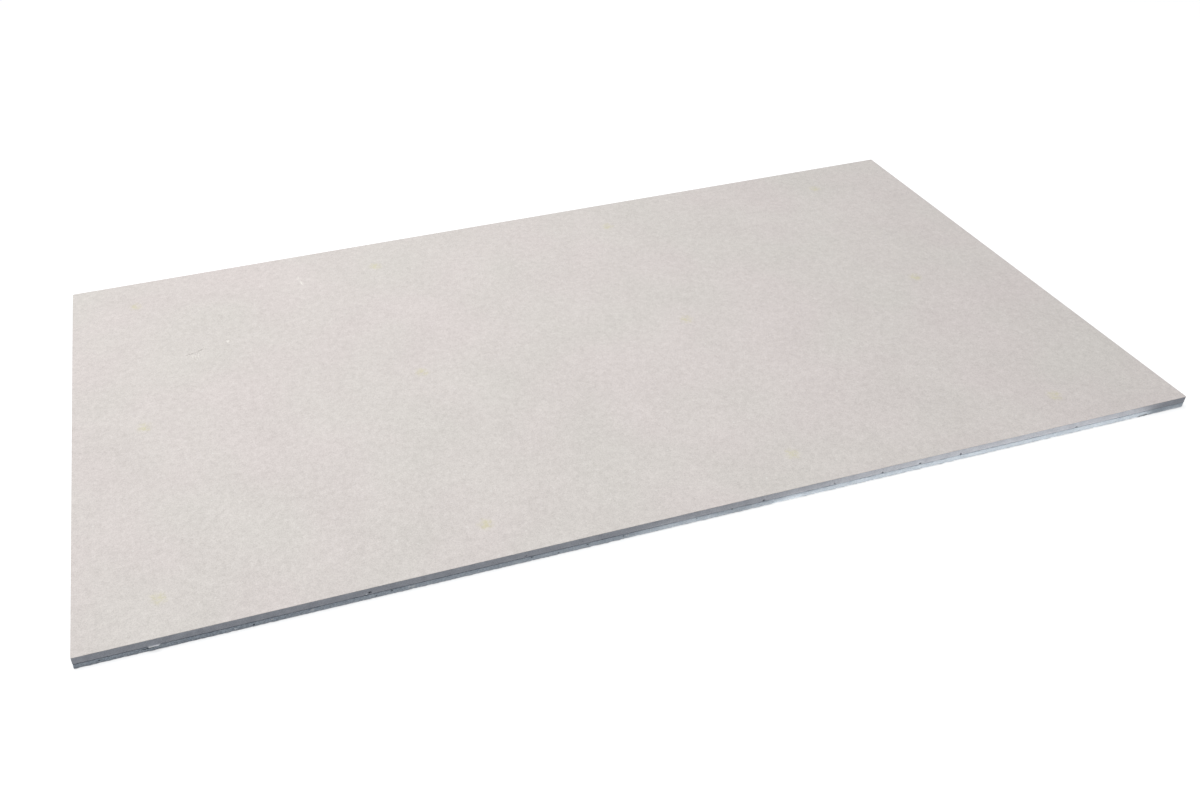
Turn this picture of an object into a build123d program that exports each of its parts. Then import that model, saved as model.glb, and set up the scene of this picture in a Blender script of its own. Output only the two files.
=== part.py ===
from build123d import *
import os

# A laminated drywall sheet, lying flat with its face paper up. All lengths are in millimetres.
# Two gypsum layers are glued together. A grey-beige paper covers the face, and a white liner
# covers the back. All four edges are sawn square through the whole lay-up.
# +X runs along the sheet, +Y across it and +Z up out of its face.
# The origin is the middle of the underside, where the sheet rests.

# The sheet as it is sawn
sheet_length = 1200
sheet_width = 600
corner_radius = 1.2

# The lay-up, from the underside up
back_liner_thickness = 0.6
lower_core_thickness = 5.8
bond_layer_thickness = 0.8
upper_core_thickness = 7.4
face_paper_thickness = 0.4

# The glue line lies back from the sawn edges as a narrow groove, and the loose white liner
# ends a little short of them.
bond_layer_setback = 0.6
back_liner_setback = 0.8

# Heights at which the layers meet
lower_core_base = back_liner_thickness
bond_layer_base = lower_core_base + lower_core_thickness
upper_core_base = bond_layer_base + bond_layer_thickness
face_paper_base = upper_core_base + upper_core_thickness

# Plan sizes of the two layers that end short of the sawn edges
bond_layer_length = sheet_length - 2 * bond_layer_setback
bond_layer_width = sheet_width - 2 * bond_layer_setback
back_liner_length = sheet_length - 2 * back_liner_setback
back_liner_width = sheet_width - 2 * back_liner_setback

# The white liner on the back, which the sheet rests on
with BuildPart() as back_liner:
    with BuildSketch(Plane.XY):
        RectangleRounded(back_liner_length, back_liner_width, corner_radius)
    extrude(amount=back_liner_thickness)

# The thinner, lighter gypsum layer next to the liner
with BuildPart() as lower_core:
    with BuildSketch(Plane.XY.offset(lower_core_base)):
        RectangleRounded(sheet_length, sheet_width, corner_radius)
    extrude(amount=lower_core_thickness)

# The glue line that joins the two gypsum layers
with BuildPart() as bond_layer:
    with BuildSketch(Plane.XY.offset(bond_layer_base)):
        RectangleRounded(bond_layer_length, bond_layer_width, corner_radius)
    extrude(amount=bond_layer_thickness)

# The thicker, greyer gypsum layer under the face paper
with BuildPart() as upper_core:
    with BuildSketch(Plane.XY.offset(upper_core_base)):
        RectangleRounded(sheet_length, sheet_width, corner_radius)
    extrude(amount=upper_core_thickness)

# The face paper, cut flush with the gypsum
with BuildPart() as face_paper:
    with BuildSketch(Plane.XY.offset(face_paper_base)):
        RectangleRounded(sheet_length, sheet_width, corner_radius)
    extrude(amount=face_paper_thickness)

os.makedirs("parts", exist_ok=True)

back_liner.part.label = "back_liner"
export_step(back_liner.part, "parts/back_liner.step")

lower_core.part.label = "lower_core"
export_step(lower_core.part, "parts/lower_core.step")

bond_layer.part.label = "bond_layer"
export_step(bond_layer.part, "parts/bond_layer.step")

upper_core.part.label = "upper_core"
export_step(upper_core.part, "parts/upper_core.step")

face_paper.part.label = "face_paper"
export_step(face_paper.part, "parts/face_paper.step")
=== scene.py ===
import math
import random

import bmesh
import bpy
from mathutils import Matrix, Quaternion, Vector, noise
from mathutils.kdtree import KDTree


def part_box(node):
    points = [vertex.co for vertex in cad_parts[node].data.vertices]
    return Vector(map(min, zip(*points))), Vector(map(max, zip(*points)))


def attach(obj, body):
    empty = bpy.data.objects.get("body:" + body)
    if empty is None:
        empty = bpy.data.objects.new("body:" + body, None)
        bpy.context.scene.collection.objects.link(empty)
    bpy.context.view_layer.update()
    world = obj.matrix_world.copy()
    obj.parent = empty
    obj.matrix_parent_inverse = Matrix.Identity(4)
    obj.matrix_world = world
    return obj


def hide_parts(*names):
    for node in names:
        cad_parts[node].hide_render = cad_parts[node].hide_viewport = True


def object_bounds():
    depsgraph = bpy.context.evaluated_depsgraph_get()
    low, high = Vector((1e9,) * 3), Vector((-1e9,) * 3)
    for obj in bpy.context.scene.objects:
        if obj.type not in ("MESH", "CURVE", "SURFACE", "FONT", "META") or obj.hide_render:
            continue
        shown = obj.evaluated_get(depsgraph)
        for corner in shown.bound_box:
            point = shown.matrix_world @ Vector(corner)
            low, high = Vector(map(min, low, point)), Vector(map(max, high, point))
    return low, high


# A laminated drywall sheet, lying flat on a pale floor with its face paper up.
# Lengths are in metres. +X runs along the sheet, +Y across it and +Z up out of its face.

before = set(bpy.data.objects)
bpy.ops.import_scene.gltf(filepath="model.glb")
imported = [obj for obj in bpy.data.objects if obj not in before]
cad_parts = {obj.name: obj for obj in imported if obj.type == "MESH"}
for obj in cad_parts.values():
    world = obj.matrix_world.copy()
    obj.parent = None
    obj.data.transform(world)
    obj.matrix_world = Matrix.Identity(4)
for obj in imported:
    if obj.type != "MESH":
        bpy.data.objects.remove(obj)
cad_low, cad_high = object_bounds()

MM = 0.001
SEED = 11

# Sides of the sheet, by the way their sawn faces look
FRONT = Vector((0, -1, 0))
REAR = Vector((0, 1, 0))
LEFT = Vector((-1, 0, 0))
RIGHT = Vector((1, 0, 0))

# How finely the layers are divided
CORNER_RADIUS = 1.2 * MM
CORNER_SEGMENTS = 4
SAW_STEP = 1.2 * MM
SAW_ROW = 0.8 * MM
ARRIS_ROW = 0.3 * MM
VOID_CUTS = 2
GLUE_STEP = 2.5 * MM
GLUE_ROWS = 4
PAPER_CELLS_ALONG = 100
PAPER_CELLS_ACROSS = 50
PAPER_STEP = 2 * MM
LINER_CELLS_ALONG = 110
LINER_CELLS_ACROSS = 820
LINER_STEP = 1.6 * MM

# The face paper is divided again round its nicks, once widely and once closely
NICK_SURROUNDINGS = (12 * MM, 2 * MM)
NICK_CUTS = 4

# Faces with this many corners or more are a layer's caps, which aren't divided
CAP_CORNERS = 12

# Unevenness as waves of noise: how many lobes a metre each wave has, and how much it counts
SAW_RIPPLE = ((230, 1), (640, 0.4))
ARRIS_CRUMBS = ((160, 1), (500, 0.5))
MARK_RIM = ((900, 0.45),)
GLUE_SQUEEZE = ((55, 0.3), (230, 0.25))
PAPER_FUR = ((330, 0.08), (1200, 0.06))
LINER_RAGS = ((150, 0.5), (520, 0.4))
LINER_CURL = ((400, 1),)

# The saw's work on each gypsum layer: how deep its grain is, how deep the arrises crumble and wear, and
# how far the noise has to rise before they crumble
UPPER_GRAIN = 0.07 * MM
UPPER_CRUMBLE = 0.25 * MM
LOWER_GRAIN = 0.22 * MM
LOWER_CRUMBLE = 0.5 * MM
ARRIS_WEAR = 0.12 * MM
CRUMBS_FROM = 0.1

# Depth of a void and of a chip, and half height of both, as shares of their half length
VOID_DEPTH_SHARE = 1.1
CHIP_DEPTH_SHARE = 0.2
VOID_HEIGHT_SHARE = 0.7

# Voids at random: how far apart on an edge, which part of it they keep to, their least and greatest
# half length, and the height above the layer's underside that about half of them have
VOID_SPACING = 60 * MM
VOID_STRETCH = (0.03, 0.97)
VOID_LEAST = 0.6 * MM
VOID_GREATEST = 1.7 * MM
VOID_LOW = 0.3 * MM

# Where the glue line starts to sink toward the left, over what length, and by how much
LINE_SINKS_FROM = 0.2
LINE_RUN = 0.8
LINE_SINKS = 0.8 * MM

# How far the glue bulges at half its height, in millimetres
GLUE_BULGE = 0.15

# The face paper's arris: how far it lies back, in millimetres, and how far it drops
FUR_SETBACK = 0.1
FUR_DROP = 0.04 * MM

# The liner's ragged border: how far it stands out, in millimetres, and how far it curls up
RAGS_REACH = 0.5
CURL_RISE = 0.12 * MM

# The liner's creases. Noise is drawn out along the sheet, given by its lobes a metre along and across:
# for their lines, for the drift of the lines, and for the stretches in which there are creases. The
# least slope keeps a crease from growing wide where the noise is level.
CREASE_DEPTH = 0.3 * MM
CREASE_HALF_WIDTH = 1.0 * MM
LINE_LOBES = (6, 70)
DRIFT_LOBES = (7, 9)
DRIFT = 0.5
STRETCH_LOBES = (11, 55)
STRETCH_FROM = 0.12
STRETCH_GAIN = 4
MORE_AT_EDGES = 0.45
LEAST_SLOPE = 1.0

# Torn flakes: their thickness, how deep they root in the layer, how much they narrow, where they turn up,
# how far they may lean, how rough they are, and how finely they are divided
TATTER_THICKNESS = 0.15 * MM
TATTER_ROOT = 0.7 * MM
TATTER_TAPER = 0.5
TATTER_TURN = 0.7
TATTER_LEAN = 0.4
TATTER_ROUGHNESS = 0.3 * MM
TATTER_LOBES = 4
ROOT_LOBES = 300
TATTER_COLUMNS = 7
TATTER_ROWS = 6

# Small flakes at random: how many on a side and which share of it they keep to, and in millimetres their
# widths, their rises, their reach and the height of their roots
FLAKES_A_SIDE = 7
FLAKE_STRETCH_SHARE = 0.95
FLAKE_WIDTHS = (0.8, 1.8)
FLAKE_RISES = (0.3, 0.9)
FLAKE_REACH = 0.5
FLAKE_HEIGHT = 0.4

# What is seen on the sawn front edge, in millimetres: place along it, height and half length of the
# voids, and the same of the small chips that show fresh white
FRONT_VOIDS = (
    (-577, 3.5, 1.2), (-438, 2.5, 1.2), (-328, 9.0, 1.7), (-322, 2.4, 1.0), (-307, 4.3, 1.3),
    (-173, 8.5, 1.2), (-167, 4.9, 1.1), (-139, 2.3, 1.0), (-109, 4.5, 1.3), (-71, 4.2, 1.1),
    (8, 4.6, 0.9), (47, 6.2, 1.0), (82, 8.1, 1.5), (163, 8.4, 1.1), (219, 8.1, 1.3),
    (264, 8.3, 1.5), (313, 8.3, 1.25), (458, 7.9, 1.4), (533, 6.6, 1.4),
)
FRONT_CHIPS = ((-383, 3.4, 2.2), (-331, 7.0, 2.0), (-286, 3.6, 2.4), (-67, 4.4, 2.2))

# The torn flakes seen in front, in millimetres: place along the edge, height of the root, width,
# rise and reach
FRONT_TATTERS = (
    (-528, 6.8, 12.5, 0.6, 2.1),
    (-455, 3.5, 3.2, 0.5, 1.1),
    (-421, 4.7, 3.2, 0.5, 1.1),
    (-331, 8.2, 2.2, 0.4, 1.0),
    (-290, 4.6, 3.6, 0.5, 1.1),
    (-67, 5.2, 2.6, 0.4, 1.0),
)

# The hurts in the face near its back left corner, two white nicks with their thin ends and a scuff below
# them, in millimetres and degrees: place along and across, half length, half width, turn, depth, and
# how far it shows white. They reach well above and below the face, so that it cuts them at full size.
NICKS = (
    (-304.2, 233.0, 6.0, 1.4, -79, 0.22, 1.0),
    (-306.0, 246.6, 6.0, 1.2, -89, 0.08, 0.8),
    (-413.0, 132.0, 2.6, 2.3, 0, 0.22, 1.0),
    (-415.5, 139.5, 4.5, 0.9, -50, 0.08, 0.6),
    (-459.0, 119.3, 9.0, 0.8, 12, 0.09, 0.0),
    (-447.5, 123.6, 6.0, 1.0, 30, 0.13, 0.0),
    (-457.6, 112.8, 4.8, 1.0, -86, 0.12, 0.8),
    (-454.2, 112.8, 4.6, 1.0, -92, 0.12, 0.8),
    (-450.6, 113.5, 5.5, 1.0, -97, 0.12, 0.8),
)
NICK_HALF_HEIGHT = 5 * MM

# The yellow fixing marks on the face, in millimetres: their columns and rows, where one begins and
# where it has its full strength, and how far it is out of its place and smeared
YELLOW_COLUMNS = (-520, -199, 140, 467)
YELLOW_ROWS = (-254, -1, 244)
YELLOW_RIM = 11 * MM
YELLOW_CORE = 1 * MM
YELLOW_SHIFT = 20 * MM
YELLOW_SMEAR = 10 * MM

# How much the sheet's surfaces mirror
MIRRORING = 0.3

# Stretches along the sheet in which the glue line is paled, by dust and by painted light, and the light
# layer gets painted shade
PALING_FROM = -0.15
PALING_TO = 0.06
PAINTED_SHADE_FROM = 0.1
PAINTED_SHADE_TO = -0.7


class Wire:
    """A value in a node tree. Arithmetic on it adds Math nodes."""

    def __init__(self, tree, socket):
        self.tree = tree
        self.socket = socket

    def math(self, operation, *values):
        return self.tree.node("ShaderNodeMath", {"operation": operation}, dict(enumerate(values)))

    def __add__(self, other):
        return self.math("ADD", self, other)

    def __radd__(self, other):
        return self.math("ADD", other, self)

    def __sub__(self, other):
        return self.math("SUBTRACT", self, other)

    def __rsub__(self, other):
        return self.math("SUBTRACT", other, self)

    def __mul__(self, other):
        return self.math("MULTIPLY", self, other)

    def __rmul__(self, other):
        return self.math("MULTIPLY", other, self)

    def absolute(self):
        return self.math("ABSOLUTE", self)

    def root(self):
        return self.math("SQRT", self)

    def least(self, other):
        return self.math("MINIMUM", self, other)

    def most(self, other):
        return self.math("MAXIMUM", self, other)

    def eased(self, start, end):
        """Turns it into a share: 0 at start and 1 at end, eased between them."""
        settings = {"interpolation_type": "SMOOTHSTEP"}
        values = {"Value": self, "From Min": start, "From Max": end}
        return self.tree.node("ShaderNodeMapRange", settings, values)

    def swing(self, amount):
        """How far a noise is from its middle, times an amount."""
        return (self - 0.5) * amount

    def beside(self, output):
        """Another output of the same node."""
        return Wire(self.tree, self.socket.node.outputs[output])


class Tree:
    """A node tree, filled one node at a time."""

    def __init__(self, node_tree):
        self.nodes = node_tree.nodes
        self.links = node_tree.links
        self.nodes.clear()

    def node(self, kind, settings=None, values=None, output=0):
        """Adds a node, sets it up, and returns one of its outputs if it has any."""
        made = self.nodes.new(kind)
        for name, value in (settings or {}).items():
            setattr(made, name, value)
        for name, value in (values or {}).items():
            if isinstance(value, Wire):
                self.links.new(value.socket, made.inputs[name])
            else:
                made.inputs[name].default_value = value
        return Wire(self, made.outputs[output]) if made.outputs else None


class Finish(Tree):
    """One material's node tree, on Object coordinates."""

    def __init__(self, name):
        self.material = bpy.data.materials.new(name)
        self.material.use_nodes = True
        super().__init__(self.material.node_tree)
        self.place = self.node("ShaderNodeTexCoord", output="Object")

    def axes(self):
        """The coordinates along the sheet and across it, each a value."""
        along = self.node("ShaderNodeSeparateXYZ", values={"Vector": self.place})
        return along, along.beside("Y")

    def noise(self, scale, detail=2.0, roughness=0.5, place=None):
        values = {"Vector": place or self.place, "Scale": scale}
        values.update({"Detail": detail, "Roughness": roughness})
        return self.node("ShaderNodeTexNoise", values=values)

    def turned(self, turn, size):
        """Coordinates turned about the face's normal and measured in cells of that size."""
        values = {"Vector": self.place, "Rotation": (0, 0, turn), "Scale": size}
        return self.node("ShaderNodeMapping", {"vector_type": "TEXTURE"}, values)

    def mix(self, share, first, second):
        """A colour between two others. Its sockets are numbered, because a Mix node names some twice."""
        settings = {"data_type": "RGBA", "clamp_factor": True}
        return self.node("ShaderNodeMix", settings, {0: share, 6: first, 7: second}, output=2)

    def attribute(self, name):
        """A value that the mesh carries on its vertices."""
        return self.node("ShaderNodeAttribute", {"attribute_name": name}, output="Fac")

    def bump(self, height, reach, strength=1.0):
        values = {"Height": height, "Distance": reach, "Strength": strength}
        return self.node("ShaderNodeBump", values=values)

    def ended(self, shader):
        """Ends the tree in a shader."""
        self.node("ShaderNodeOutputMaterial", values={"Surface": shader})
        return self.material

    def matte(self, colour, roughness, normal):
        """Ends the tree in a surface that mirrors little."""
        values = {"Base Color": colour, "Roughness": roughness, "Normal": normal}
        values["Specular IOR Level"] = MIRRORING
        return self.ended(self.node("ShaderNodeBsdfPrincipled", values=values))


def rgb(red, green, blue):
    """A colour given by its sRGB values from 0 to 255, as Blender's linear colour."""
    def linear(value):
        share = value / 255
        return share / 12.92 if share <= 0.04045 else ((share + 0.055) / 1.055) ** 2.4

    return (linear(red), linear(green), linear(blue), 1.0)


def darkened(colour, share):
    """The same colour with only a share of its light."""
    return tuple(share * value for value in colour[:3]) + (1.0,)


def lumps(place, waves):
    """Unevenness at a place, made of waves of noise."""
    return sum(share * noise.noise(place * lobes) for lobes, share in waves)


# The glue line's run


def sunk(x):
    """How far the glue line has sunk at a place along the sheet."""
    share = min(max((LINE_SINKS_FROM - x) / LINE_RUN, 0.0), 1.0)
    return LINE_SINKS * share


def sinking(x, low, high, line):
    """How a layer gives way to the line: the height that stays, and the share by which the rest follows."""
    fixed = low.z + high.z - line
    return fixed, sunk(x) / (line - fixed)


def after_sinking(x, z, low, high, line):
    """Where a height in the level layer comes to lie."""
    fixed, share = sinking(x, low, high, line)
    return z - share * (z - fixed)


def before_sinking(x, z, low, high, line):
    """The height in the level layer that comes to lie at this one."""
    fixed, share = sinking(x, low, high, line)
    return (z - share * fixed) / (1 - share)


# Marks and voids


class Mark:
    """A hollow with an uneven rim: a dark void, or a chip or nick that shows fresh white."""

    def __init__(self, centre, half_sizes, depth, fresh=0.0, turn=0.0):
        self.centre = Vector(centre)
        self.half = Vector(half_sizes)
        self.depth = depth
        self.fresh = fresh
        self.along = Vector((math.cos(turn), math.sin(turn), 0))
        self.across = Vector((-math.sin(turn), math.cos(turn), 0))
        self.reach = max(half_sizes)

    def bowl(self, place):
        """1 in the middle of the mark, falling to 0 at its rim."""
        away = place - self.centre
        along = away.dot(self.along) / self.half.x
        across = away.dot(self.across) / self.half.y
        share = Vector((along, across, away.z / self.half.z)).length
        share *= 1 + lumps(place, MARK_RIM)
        return max(0.0, 1 - share * share)


def void(x, y, z, half_length, fresh=0.0):
    """A bubble cut open by the saw, or a small chip: a little longer than it is high."""
    depth = (CHIP_DEPTH_SHARE if fresh else VOID_DEPTH_SHARE) * half_length
    half_sizes = (half_length, half_length, VOID_HEIGHT_SHARE * half_length)
    return Mark((x, y, z), half_sizes, depth, fresh)


def front_marks(low, high, line):
    """The voids and small chips of the front edge that lie on this layer."""
    found = []
    for places, fresh in ((FRONT_VOIDS, 0.0), (FRONT_CHIPS, 1.0)):
        for x, height, half in places:
            z = before_sinking(x * MM, height * MM, low, high, line)
            if low.z <= z <= high.z:
                found.append(void(x * MM, low.y, z, half * MM, fresh))
    return found


def scattered_voids(rng, low, high, spacing):
    """Voids of the other three edges, at random."""
    corners = (
        Vector((high.x, low.y, 0)),
        Vector((high.x, high.y, 0)),
        Vector((low.x, high.y, 0)),
        Vector((low.x, low.y, 0)),
    )
    found = []
    for start, end in zip(corners, corners[1:]):
        for _ in range(round((end - start).length / spacing)):
            place = start.lerp(end, rng.uniform(*VOID_STRETCH))
            z = rng.choice((low.z + VOID_LOW, rng.uniform(low.z, high.z)))
            found.append(void(place.x, place.y, z, rng.uniform(VOID_LEAST, VOID_GREATEST)))
    return found


# Building the layers


def plan(low, high, cells_along, cells_across, height):
    """A layer's plan as a flat grid at a height, with the sheet's rounded corners."""
    bm = bmesh.new()
    bmesh.ops.create_grid(bm, x_segments=cells_along, y_segments=cells_across, size=0.5)
    bmesh.ops.scale(bm, vec=(high.x - low.x, high.y - low.y, 1), verts=bm.verts)
    middle = (low + high) / 2
    bmesh.ops.translate(bm, vec=(middle.x, middle.y, height), verts=bm.verts)
    bmesh.ops.bevel(
        bm,
        geom=[v for v in bm.verts if len(v.link_edges) == 2],
        offset=CORNER_RADIUS,
        affect="VERTICES",
        segments=CORNER_SEGMENTS,
        profile=0.5,
        material=-1,
    )
    return bm


def divide_border(bm, step):
    """Cuts the long stretches of the border into short steps."""
    by_cuts = {}
    for edge in [e for e in bm.edges if e.is_boundary and e.calc_length() > 2 * step]:
        cuts = round(edge.calc_length() / step) - 1
        by_cuts.setdefault(cuts, []).append(edge)
    for cuts, edges in by_cuts.items():
        bmesh.ops.subdivide_edges(bm, edges=edges, cuts=cuts)


def raise_walls(bm, rows):
    """Extrudes the plan upwards, one row of wall faces at a time. The plan stays as the underside."""
    top = bm.faces[:]
    for row, height in enumerate(rows):
        made = bmesh.ops.extrude_face_region(bm, geom=top)["geom"]
        if row > 0:
            bmesh.ops.delete(bm, geom=top, context="FACES_ONLY")
        top = [g for g in made if isinstance(g, bmesh.types.BMFace)]
        lifted = [g for g in made if isinstance(g, bmesh.types.BMVert)]
        bmesh.ops.translate(bm, vec=(0, 0, height), verts=lifted)


def wall_rows(height, row, arris):
    """Heights of the wall's rows: a narrow one at each arris and equal ones between."""
    count = round((height - 2 * arris) / row)
    return [arris] + [(height - 2 * arris) / count] * count + [arris]


def close_to(bm, height):
    """Closes a one-sided layer: its border runs straight to a height and is capped there."""
    border = [e for e in bm.edges if e.is_boundary]
    made = bmesh.ops.extrude_edge_only(bm, edges=border)["geom"]
    for vert in [g for g in made if isinstance(g, bmesh.types.BMVert)]:
        vert.co.z = height
    for edge in border:
        edge.smooth = False
    rim = [g for g in made if isinstance(g, bmesh.types.BMEdge) and g.is_boundary]
    bmesh.ops.edgeloop_fill(bm, edges=rim)
    for edge in rim:
        edge.smooth = False


def finder(places):
    """A search tree over a list of places."""
    tree = KDTree(len(places))
    for index, place in enumerate(places):
        tree.insert(place, index)
    tree.balance()
    return tree


def refine(bm, marks, around, cuts):
    """Divides the faces round the marks more finely, so that each mark gets its shape."""
    bm.edges.index_update()
    cells = [f for f in bm.faces if len(f.verts) < CAP_CORNERS]
    tree = finder([f.calc_center_median() for f in cells])
    near = {}
    for mark in marks:
        for _, index, _ in tree.find_range(mark.centre, mark.reach + around):
            near.update((e.index, e) for e in cells[index].edges)
    edges = [near[index] for index in sorted(near)]
    bmesh.ops.subdivide_edges(bm, edges=edges, cuts=cuts, use_grid_fill=True)


def outward(place, low, high):
    """The direction straight out of the layer's border at a place on it."""
    x = min(max(place.x, low.x + CORNER_RADIUS), high.x - CORNER_RADIUS)
    y = min(max(place.y, low.y + CORNER_RADIUS), high.y - CORNER_RADIUS)
    return Vector((place.x - x, place.y - y, 0)).normalized()


def finished(bm, name, material, node=None):
    """Turns a bmesh into a piece of the sheet."""
    bmesh.ops.recalc_face_normals(bm, faces=bm.faces)
    mesh = bpy.data.meshes.new(name)
    bm.to_mesh(mesh)
    bm.free()
    mesh.materials.append(material)
    piece = bpy.data.objects.new(name, mesh)
    bpy.context.scene.collection.objects.link(piece)
    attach(piece, "root")
    if node:
        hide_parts(node)
    return piece


# The sawn layers


def pressed(bm, marks):
    """How deep the marks go at each vertex they reach, by its index. Their kinds go on the mesh."""
    pit = bm.verts.layers.float.new("pit")
    fresh = bm.verts.layers.float.new("fresh")
    bm.verts.index_update()
    verts = bm.verts[:]
    tree = finder([v.co for v in verts])
    depths = {}
    for mark in marks:
        for place, index, _ in tree.find_range(mark.centre, 2 * mark.reach):
            bowl = mark.bowl(place)
            if bowl > 0:
                vert = verts[index]
                depths[index] = depths.get(index, 0.0) + mark.depth * math.sqrt(bowl)
                vert[pit] = max(vert[pit], bowl * (1 - mark.fresh))
                vert[fresh] = max(vert[fresh], bowl * mark.fresh)
    return depths


def saw(bm, low, high, marks, grain, crumble, line):
    """Gives a layer's walls their sawn surface: grain, worn arrises, voids and chips.

    The side of the layer that lies at the glue line's height follows it.
    """
    depths = pressed(bm, marks)
    for vert in bm.verts:
        place = vert.co.copy()
        vert.co.z = after_sinking(place.x, place.z, low, high, line)
        from_arris = min(place.z - low.z, high.z - place.z)
        worn = max(0.0, 1 - from_arris / ARRIS_ROW)
        crumbs = max(0.0, lumps(place, ARRIS_CRUMBS) - CRUMBS_FROM)
        depth = grain * (1 + lumps(place, SAW_RIPPLE))
        depth += worn * (ARRIS_WEAR + crumble * crumbs)
        depth += depths.get(vert.index, 0.0)
        vert.co -= outward(place, low, high) * depth


def shade_walls(bm):
    """Smooth walls between sharp arrises."""
    for face in bm.faces:
        face.smooth = len(face.verts) == 4
    for edge in bm.edges:
        edge.smooth = all(f.smooth for f in edge.link_faces)


def sawn_layer(node, material, marks, grain, crumble, line):
    """A gypsum layer, with finely divided walls that carry the saw's work."""
    low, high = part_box(node)
    bm = plan(low, high, 1, 1, low.z)
    divide_border(bm, SAW_STEP)
    raise_walls(bm, wall_rows(high.z - low.z, SAW_ROW, ARRIS_ROW))
    shade_walls(bm)
    refine(bm, marks, SAW_STEP, VOID_CUTS)
    saw(bm, low, high, marks, grain, crumble, line)
    return finished(bm, node + "_sawn", material, node)


def upper_core(material, rng):
    """The thicker grey gypsum layer, with open bubbles in its sawn faces."""
    low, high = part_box("upper_core")
    marks = front_marks(low, high, low.z)
    marks += scattered_voids(rng, low, high, VOID_SPACING)
    return sawn_layer("upper_core", material, marks, UPPER_GRAIN, UPPER_CRUMBLE, low.z)


def lower_core(material, rng):
    """The thinner, crumbly light layer: chipped and torn at its front left, notched at its front right."""
    low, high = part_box("lower_core")
    chip_place = (-528 * MM, low.y, high.z - 0.3 * MM)
    tear_place = (-534 * MM, low.y, high.z - 2.0 * MM)
    notch_place = (548 * MM, low.y, low.z + 0.5 * MM)
    marks = [
        Mark(chip_place, half_sizes=(6.5 * MM, 5 * MM, 1.0 * MM), depth=0.3 * MM, fresh=1.0),
        Mark(tear_place, half_sizes=(8 * MM, 7 * MM, 0.7 * MM), depth=0.6 * MM),
        Mark(notch_place, half_sizes=(8 * MM, 5 * MM, 1.3 * MM), depth=1.4 * MM),
    ]
    marks += front_marks(low, high, high.z)
    marks += scattered_voids(rng, low, high, 2 * VOID_SPACING)
    return sawn_layer("lower_core", material, marks, LOWER_GRAIN, LOWER_CRUMBLE, high.z)


def bond_layer(material):
    """The glue line, squeezed out unevenly between the two gypsum layers and cut by the voids."""
    low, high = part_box("bond_layer")
    bm = plan(low, high, 1, 1, low.z)
    divide_border(bm, GLUE_STEP)
    raise_walls(bm, [(high.z - low.z) / GLUE_ROWS] * GLUE_ROWS)
    shade_walls(bm)
    for vert in bm.verts:
        place = vert.co.copy()
        rounded = 1 - (2 * (place.z - low.z) / (high.z - low.z) - 1) ** 2
        out = (lumps(place, GLUE_SQUEEZE) + GLUE_BULGE * rounded) * MM
        for x, height, half in FRONT_VOIDS:
            near = math.hypot(place.x / MM - x, (place.z - sunk(place.x)) / MM - height) / half
            if place.y < 0 and near < 1:
                out -= (1 - near * near) * half * MM
        vert.co += outward(place, low, high) * out
        vert.co.z -= sunk(place.x)
    return finished(bm, "bond_layer_squeezed", material, "bond_layer")


# The face paper


def nick(height, x, y, half_length, half_width, turn, depth, fresh):
    """A small hurt in the face, given in millimetres and degrees."""
    half_sizes = (half_length * MM, half_width * MM, NICK_HALF_HEIGHT)
    return Mark((x * MM, y * MM, height), half_sizes, depth * MM, fresh, math.radians(turn))


def face_paper(material):
    """The face paper: flat, sawn off with a slightly furred arris, and nicked in a few places."""
    low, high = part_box("face_paper")
    bm = plan(low, high, PAPER_CELLS_ALONG, PAPER_CELLS_ACROSS, high.z)
    marks = [nick(high.z, *values) for values in NICKS]
    for around in NICK_SURROUNDINGS:
        refine(bm, marks, around, NICK_CUTS)
    divide_border(bm, PAPER_STEP)
    for face in bm.faces:
        face.smooth = True
    depths = pressed(bm, marks)
    for vert in bm.verts:
        place = vert.co.copy()
        vert.co.z -= depths.get(vert.index, 0.0)
        if vert.is_boundary:
            furred = FUR_SETBACK + lumps(place, PAPER_FUR)
            vert.co -= outward(place, low, high) * furred * MM
            vert.co.z -= FUR_DROP
    close_to(bm, low.z)
    return finished(bm, "face_paper_sheet", material, "face_paper")


# The back liner


def drawn_out(x, y, lobes, layer, drift=0.0):
    """Noise with its own lobes a metre along and across the sheet. Each layer of it is another pattern."""
    along, across = lobes
    return noise.noise(Vector((x * along, y * across + drift, layer)))


def crease_line(x, y):
    """Crosses 0 where a crease may run. The lines lie along the sheet and drift a little across it."""
    drift = DRIFT * drawn_out(x, y, DRIFT_LOBES, 3)
    return drawn_out(x, y, LINE_LOBES, 0, drift)


def creased(place):
    """How deep the liner is creased at a place, from 0 to 1. It is creased most near the edges."""
    line = crease_line(place.x, place.y)
    slope = (crease_line(place.x, place.y + MM) - line) / MM
    from_line = abs(line) / max(abs(slope), LEAST_SLOPE)
    to_edge = max(abs(place.x) / cad_high.x, abs(place.y) / cad_high.y) ** 4
    lasting = drawn_out(place.x, place.y, STRETCH_LOBES, 7) - STRETCH_FROM + MORE_AT_EDGES * to_edge
    share = min(max(STRETCH_GAIN * lasting, 0.0), 1.0)
    return share * max(0.0, 1 - from_line / CREASE_HALF_WIDTH)


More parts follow.
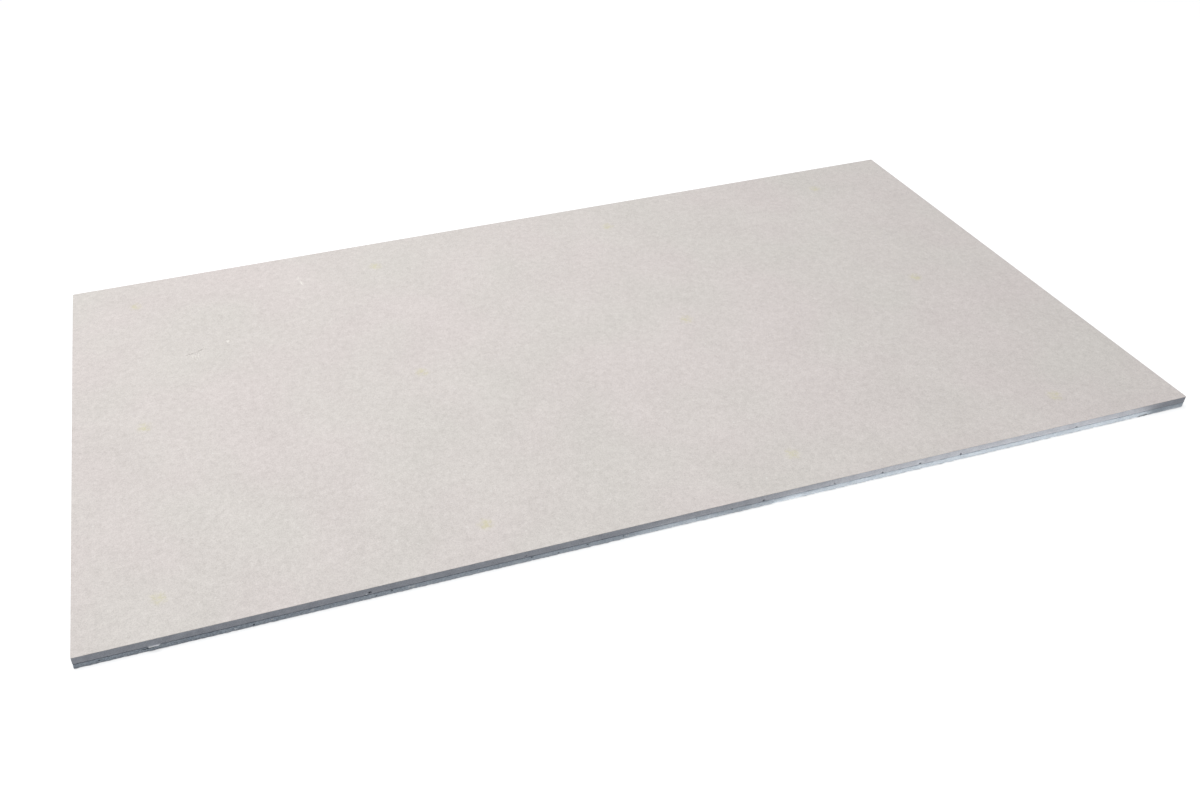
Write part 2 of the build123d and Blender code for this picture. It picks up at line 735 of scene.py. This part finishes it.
def back_liner(material):
    """The white liner: loose, finely wrinkled along the sheet, and ragged at its border."""
    low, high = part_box("back_liner")
    bm = plan(low, high, LINER_CELLS_ALONG, LINER_CELLS_ACROSS, low.z)
    divide_border(bm, LINER_STEP)
    crease = bm.verts.layers.float.new("crease")
    for vert in bm.verts:
        place = vert.co.copy()
        vert[crease] = creased(place)
        vert.co.z += CREASE_DEPTH * vert[crease]
        if vert.is_boundary:
            ragged = lumps(place, LINER_RAGS) + RAGS_REACH
            vert.co += outward(place, low, high) * ragged * MM
            vert.co.z = low.z + CURL_RISE * (1 + lumps(place, LINER_CURL))
    for face in bm.faces:
        face.smooth = True
    close_to(bm, high.z)
    return finished(bm, "back_liner_wrinkled", material, "back_liner")


# The torn flakes


def tatter(bm, rng, root, out, width, height, reach):
    """A torn flake that stands out from the sawn edge: it reaches out first and then up."""
    made = bmesh.ops.create_grid(
        bm,
        x_segments=TATTER_COLUMNS,
        y_segments=TATTER_ROWS,
        size=0.5,
    )["verts"]
    own = set(made)
    along = Vector((-out.y, out.x, 0))
    lean = rng.uniform(-TATTER_LEAN, TATTER_LEAN)
    for vert in made:
        across = vert.co.x
        up = vert.co.y + 0.5
        narrowed = across * (1 - TATTER_TAPER * up) + lean * up * up
        beyond = (reach + TATTER_ROOT) * min(1.0, up / TATTER_TURN) - TATTER_ROOT
        rough = TATTER_ROUGHNESS * noise.noise(root * ROOT_LOBES + vert.co * TATTER_LOBES)
        vert.co = root + along * narrowed * width + out * (beyond + rough)
        vert.co.z += up * up * height + rough
    faces = [f for f in bm.faces if f.verts[0] in own]
    bmesh.ops.solidify(bm, geom=faces, thickness=TATTER_THICKNESS)


def small_flakes(bm, rng, side, high):
    """Small flakes at random along one side of the sheet."""
    for _ in range(FLAKES_A_SIDE):
        spread = rng.uniform(-FLAKE_STRETCH_SHARE, FLAKE_STRETCH_SHARE)
        x = (side.x or spread) * high.x
        y = (side.y or spread) * high.y
        root = Vector((x, y, FLAKE_HEIGHT * MM))
        width = rng.uniform(*FLAKE_WIDTHS) * MM
        height = rng.uniform(*FLAKE_RISES) * MM
        tatter(bm, rng, root, side, width, height, FLAKE_REACH * MM)


def liner_tatters(material, rng):
    """Torn flakes along the sawn edges, the larger ones where they are seen in front."""
    low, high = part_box("lower_core")
    bm = bmesh.new()
    for x, z, width, height, reach in FRONT_TATTERS:
        root = Vector((x * MM, low.y, z * MM))
        tatter(bm, rng, root, FRONT, width * MM, height * MM, reach * MM)
    for side in (FRONT, REAR, LEFT, RIGHT):
        small_flakes(bm, rng, side, high)
    for face in bm.faces:
        face.smooth = True
    return finished(bm, "liner_tatters", material)


# Finishes

# The face paper's colours
COOL_PULP = (rgb(202, 196, 190), rgb(232, 226, 220))
WARM_PULP = (rgb(204, 195, 191), rgb(234, 225, 221))
PALE_FIBRE = rgb(236, 231, 226)
DARK_FIBRE = rgb(176, 166, 160)
PALE_FLECK = rgb(240, 237, 232)
YELLOW = rgb(214, 208, 132)
TORN_PAPER = rgb(245, 240, 232)
NICK_SHADE = rgb(120, 112, 106)

# The two gypsum layers' colours
GREY_GYPSUM = (rgb(173, 175, 184), rgb(221, 223, 230))
LIGHT_GYPSUM = (rgb(186, 196, 208), rgb(236, 244, 252))
# A dark blue-grey painted shade, laid over the light layer toward its left end
PAINTED_SHADE_COLOUR = rgb(80, 93, 115)
PALE_CRUMB = rgb(240, 243, 247)
FRESH_GYPSUM = rgb(248, 249, 250)
VOID_SHADE = rgb(52, 56, 64)

# The colours of the glue line and of the liner
GLUE = (rgb(44, 54, 72), rgb(84, 96, 118))
# Gypsum dust on the glue line, and painted light on it toward the right end
DUST_AND_LIGHT = rgb(182, 187, 194)
LINER = (rgb(230, 232, 234), rgb(244, 245, 246))
CREASE_SHADE = rgb(186, 188, 192)

# Spots: how uneven their rims are, how much of one is full, and how sharply cells with one are chosen
SPOT_UNEVENNESS = 0.6
SPOT_CORE = 0.6
SPOT_CHOICE = 0.02

# How softly streaks end, and the width of the face paper's fibres
STREAK_EDGE = 0.09
FIBRE_WIDTH = 0.5 * MM


def spots(finish, cell, share, radius, lobes):
    """Sparse spots: 1 inside a spot and 0 elsewhere. Only a share of the cells has one."""
    values = {"Vector": finish.place, "Scale": 1 / cell, "Randomness": 1.0}
    distance = finish.node("ShaderNodeTexVoronoi", values=values)
    chance = finish.node("ShaderNodeSeparateColor", values={"Color": distance.beside("Color")})
    uneven = finish.noise(lobes, detail=1).swing(SPOT_UNEVENNESS)
    inside = (distance + uneven).eased(radius / cell, SPOT_CORE * radius / cell)
    return inside * chance.eased(1 - share, 1 - share + SPOT_CHOICE)


def streaks(finish, turn, length, width, start):
    """Fine short streaks that lie in one direction, more of them the lower the start."""
    cells = finish.turned(turn, (length, width, width))
    return finish.noise(1.0, detail=1, place=cells).eased(start, start + STREAK_EDGE)


def fibres(finish, *kinds):
    """Fibres of several kinds, each given by its turn in radians, length in millimetres and start."""
    made = [streaks(finish, turn, length * MM, FIBRE_WIDTH, start) for turn, length, start in kinds]
    together = made[0]
    for kind in made[1:]:
        together = together.most(kind)
    return together


def nearest(value, places):
    """How far a coordinate is from the nearest of the places, given in millimetres."""
    least = (value - places[0] * MM).absolute()
    for place in places[1:]:
        least = least.least((value - place * MM).absolute())
    return least


def fixing_marks(finish):
    """Faint yellow marks in a grid, where the sheet is to be fixed. They are printed unevenly."""
    x, y = finish.axes()
    shift = finish.noise(4, detail=0).swing(YELLOW_SHIFT)
    smear = finish.noise(300, detail=2).swing(YELLOW_SMEAR)
    from_column = nearest(x + shift, YELLOW_COLUMNS)
    from_row = nearest(y + shift, YELLOW_ROWS)
    distance = (from_column * from_column + from_row * from_row).root() + smear
    return distance.eased(YELLOW_RIM, YELLOW_CORE)


def grey_paper():
    """The face paper's finish: clouded recycled pulp with fibres, pale flecks and yellow marks."""
    finish = Finish("grey_paper")
    cloud = finish.noise(14, detail=3, roughness=0.6)
    mottle = finish.noise(150, detail=4, roughness=0.75)
    grain = finish.noise(900, detail=2, roughness=0.6)
    share = 0.5 + cloud.swing(0.35) + mottle.swing(1.1) + grain.swing(1.6)
    warmth = finish.noise(6, detail=2, roughness=0.6).eased(0.3, 0.7)
    colour = finish.mix(warmth, finish.mix(share, *COOL_PULP), finish.mix(share, *WARM_PULP))
    pale = fibres(finish, (0.3, 7, 0.66), (1.9, 6, 0.67))
    dark = fibres(finish, (1.1, 7, 0.67), (2.6, 8, 0.67))
    flecks = spots(finish, cell=9 * MM, share=0.3, radius=0.7 * MM, lobes=900)
    colour = finish.mix(pale * 0.35, colour, PALE_FIBRE)
    colour = finish.mix(dark * 0.30, colour, DARK_FIBRE)
    colour = finish.mix(flecks * 0.6, colour, PALE_FLECK)
    worn = finish.noise(230, detail=2).eased(0.35, 0.65)
    colour = finish.mix(fixing_marks(finish) * (0.08 + 0.3 * worn), colour, YELLOW)
    colour = finish.mix(finish.attribute("fresh"), colour, TORN_PAPER)
    colour = finish.mix(finish.attribute("pit") * 0.45, colour, NICK_SHADE)
    height = grain + mottle * 0.6 + pale * 0.5 + dark * 0.5
    relief = finish.bump(height, reach=0.05 * MM, strength=0.6)
    return finish.matte(colour, 0.75 + grain * 0.2, relief)


def gypsum(name, colours, contrast, speckle, relief, painted_shade):
    """A sawn gypsum finish: grain, pores darkened with painted shade, pale crumbs, scratches, and painted
    shade toward the left.
    """
    finish = Finish(name)
    grain = finish.noise(700, detail=3, roughness=0.7)
    patches = finish.noise(90, detail=3, roughness=0.6)
    share = 0.5 + grain.swing(contrast) + patches.swing(0.6 * contrast)
    shaded_pores = spots(finish, cell=2.2 * MM, share=0.18, radius=0.3 * MM, lobes=1500)
    crumbs = spots(finish, cell=2.6 * MM, share=speckle, radius=0.6 * MM, lobes=1300)
    dark, pale = colours
    colour = finish.mix(share, dark, pale)
    # Painted shade in the gypsum's pores, small holes that the mesh doesn't carry
    colour = finish.mix(shaded_pores * 0.6, colour, darkened(dark, 0.45))
    along, _ = finish.axes()
    blotches = finish.noise(400, detail=2, roughness=0.6).eased(0.42, 0.6)
    # Painted shade: the layer is darkened and blued in blotches toward the left end
    toward_left = (along.eased(PAINTED_SHADE_FROM, PAINTED_SHADE_TO) * 1.3 + 0.1).least(1.0)
    colour = finish.mix(toward_left * painted_shade * (0.15 + blotches), colour, PAINTED_SHADE_COLOUR)
    colour = finish.mix(crumbs * (0.25 + speckle), colour, PALE_CRUMB)
    colour = finish.mix(finish.attribute("fresh"), colour, FRESH_GYPSUM)
    colour = finish.mix(finish.attribute("pit").eased(0.0, 0.5) * 0.9, colour, VOID_SHADE)
    scratches = streaks(finish, 0.0, 0.5 * MM, 9 * MM, 0.55)
    height = grain + patches * 0.5 - shaded_pores * 0.6 + crumbs * 0.4 - scratches * 0.3
    return finish.matte(colour, 0.85 + grain * 0.1, finish.bump(height, relief))


def grey_gypsum():
    """The upper layer's finish, fine and clean."""
    look = {"contrast": 1.6, "speckle": 0.12, "relief": 0.1 * MM, "painted_shade": 0.0}
    return gypsum("grey_gypsum", GREY_GYPSUM, **look)


def light_gypsum():
    """The lower layer's finish, full of pale crumbs, with painted shade that makes it darker and bluer on
    the left.
    """
    look = {"contrast": 1.5, "speckle": 0.35, "relief": 0.2 * MM, "painted_shade": 0.27}
    return gypsum("light_gypsum", LIGHT_GYPSUM, **look)


def glue():
    """The glue line, dark and dull, with smears of gypsum dust, and paler toward the right end as painted
    light.
    """
    finish = Finish("glue")
    along, _ = finish.axes()
    grain = finish.noise(600, detail=3, roughness=0.7)
    # Dust and painted light: the line pales in smears of dust, and more toward the right end, where light
    # from below falls on the edge
    toward_right = along.eased(PALING_FROM, PALING_TO) * 0.85
    dust_and_light = finish.noise(40, detail=2).swing(1.2) + toward_right + 0.05
    colour = finish.mix(grain, *GLUE)
    colour = finish.mix(dust_and_light.eased(0.2, 0.9) * 0.85, colour, DUST_AND_LIGHT)
    return finish.matte(colour, 0.7 + grain * 0.2, finish.bump(grain, reach=0.15 * MM))


def white_liner():
    """The white liner: soft, slightly grey in its wrinkles."""
    finish = Finish("white_liner")
    cloud = finish.noise(30, detail=3)
    fleece = finish.noise(800, detail=3, roughness=0.7)
    colour = finish.mix(cloud + fleece.swing(0.8), *LINER)
    colour = finish.mix(finish.attribute("crease") * 0.6, colour, CREASE_SHADE)
    return finish.matte(colour, 0.8 + fleece * 0.15, finish.bump(fleece, reach=0.1 * MM))


# The studio

WHITE = (1.0, 1.0, 1.0, 1.0)

# The light from all round, and the floor: how bright it is where it is seen and where it lights the
# sheet, and how far from the sheet's middle it goes to plain white
WORLD_COLOUR = (0.915, 0.957, 1.0, 1.0)
WORLD_LIGHT = 0.341
FLOOR_SIZE = 40.0
FLOOR_GLOW = 0.7
FLOOR_SEEN = (0.5, 0.5, 0.5, 1.0)
FLOOR_FELT = (0.4, 0.4, 0.4, 1.0)
FLOOR_NEAR = 0.9
FLOOR_FAR = 2.0

# The soft box overhead, which shines straight down
OVERHEAD_PLACE = (-0.6, 0.37, 2.7)
OVERHEAD_SIZE = 2.0
OVERHEAD_POWER = 62.0

# The lit cards low in front: where each starts and ends along the sheet, its turn in degrees, and its
# brightness
CARDS = {
    "card": (0.09, 0.555, 16.0, 3.6),
    "long_strip": (-0.45, 0.10, 1.5, 0.78),
    "short_strip": (-0.07, 0.13, 14.0, 1.45),
    "end_strip": (0.55, 0.60, 6.0, 1.7),
}
CARD_COLOUR = (1.0, 0.985, 0.945)
CARD_HEIGHT = 0.3 * MM

# The camera that sees the sheet as in the photograph, with its turns in radians
CAMERA_SENSOR = 36
CAMERA_LENS = 33.554
CAMERA_SHIFT = (0.13599, -0.12500)
CAMERA_PLACE = (-0.431459, -1.017733, 0.838001)
CAMERA_YAW = 0.246848
CAMERA_PITCH = 0.559744
CAMERA_ROLL = -0.037990


def white_floor():
    """A floor that keeps the sheet's shadow and goes to plain white farther out. It sends less light up."""
    finish = Finish("floor")
    x, y = finish.axes()
    far = (x * x + y * y).root().eased(FLOOR_NEAR, FLOOR_FAR)
    seen = finish.node("ShaderNodeBsdfDiffuse", values={"Color": FLOOR_SEEN})
    glow = finish.node("ShaderNodeEmission", values={"Color": WHITE, "Strength": FLOOR_GLOW})
    near = finish.node("ShaderNodeAddShader", values={0: seen, 1: glow})
    plain = finish.node("ShaderNodeEmission", values={"Color": WHITE, "Strength": 1.0})
    white = finish.node("ShaderNodeMixShader", values={0: far, 1: near, 2: plain})
    felt = finish.node("ShaderNodeBsdfDiffuse", values={"Color": FLOOR_FELT})
    by_camera = finish.node("ShaderNodeLightPath", output="Is Camera Ray")
    both = finish.node("ShaderNodeMixShader", values={0: by_camera, 1: felt, 2: white})

    bm = bmesh.new()
    bmesh.ops.create_grid(bm, x_segments=1, y_segments=1, size=FLOOR_SIZE / 2)
    mesh = bpy.data.meshes.new("floor")
    bm.to_mesh(mesh)
    bm.free()
    mesh.materials.append(finish.ended(both))
    floor = bpy.data.objects.new("floor", mesh)
    bpy.context.scene.collection.objects.link(floor)


def white_world():
    """Soft light from all round, and plain white wherever the camera looks past the floor."""
    world = bpy.data.worlds.new("studio")
    world.use_nodes = True
    bpy.context.scene.world = world
    tree = Tree(world.node_tree)
    soft = tree.node("ShaderNodeBackground", values={"Color": WORLD_COLOUR, "Strength": WORLD_LIGHT})
    seen = tree.node("ShaderNodeBackground", values={"Color": WHITE, "Strength": 1.0})
    by_camera = tree.node("ShaderNodeLightPath", output="Is Camera Ray")
    both = tree.node("ShaderNodeMixShader", values={0: by_camera, 1: soft, 2: seen})
    tree.node("ShaderNodeOutputWorld", values={"Surface": both})


def lamp(name, width, depth, power, place, turn=(0, 0, 0)):
    """A rectangular lamp that the camera doesn't see. It shines down unless it is turned."""
    light = bpy.data.lights.new(name, "AREA")
    light.shape = "RECTANGLE"
    light.size = width
    light.size_y = depth
    light.energy = power
    hung = bpy.data.objects.new(name, light)
    hung.location = place
    hung.rotation_euler = turn
    hung.visible_camera = False
    bpy.context.scene.collection.objects.link(hung)
    return light


def card(name, start, end, turn, brightness):
    """A lit card that faces up, low in front of the sheet, and is turned about the upright.

    It comes out from under the front edge at start and ends at end, and widens between them.
    """
    turn = math.radians(turn)
    width = (end - start) * math.cos(turn)
    depth = (end - start) * math.sin(turn)
    place = ((start + end) / 2, cad_low.y, CARD_HEIGHT)
    light = lamp(name, width, depth, brightness * width * depth, place, (math.pi, 0, -turn))
    light.color = CARD_COLOUR


def lamps():
    """A wide soft box overhead, back and left, and the cards that light parts of the front edge."""
    lamp("overhead", OVERHEAD_SIZE, OVERHEAD_SIZE, OVERHEAD_POWER, OVERHEAD_PLACE)
    for name, values in CARDS.items():
        card(name, *values)


def camera():
    """The camera, turned by its yaw, its pitch and its roll."""
    data = bpy.data.cameras.new("camera")
    data.sensor_width = CAMERA_SENSOR
    data.lens = CAMERA_LENS
    data.shift_x, data.shift_y = CAMERA_SHIFT
    level = math.cos(CAMERA_PITCH)
    forward = Vector((
        math.sin(CAMERA_YAW) * level,
        math.cos(CAMERA_YAW) * level,
        -math.sin(CAMERA_PITCH),
    ))
    turn = forward.to_track_quat("-Z", "Y") @ Quaternion((0, 0, 1), CAMERA_ROLL)
    eye = bpy.data.objects.new("camera", data)
    eye.location = CAMERA_PLACE
    eye.rotation_euler = turn.to_euler()
    bpy.context.scene.collection.objects.link(eye)
    bpy.context.scene.camera = eye


def build():
    """Builds the sheet's pieces, and then the studio round them."""
    rng = random.Random(SEED)
    liner = white_liner()
    upper_core(grey_gypsum(), rng)
    lower_core(light_gypsum(), rng)
    bond_layer(glue())
    face_paper(grey_paper())
    back_liner(liner)
    liner_tatters(liner, rng)
    white_floor()
    white_world()
    lamps()
    camera()
    bpy.context.scene.view_settings.view_transform = "Standard"


build()
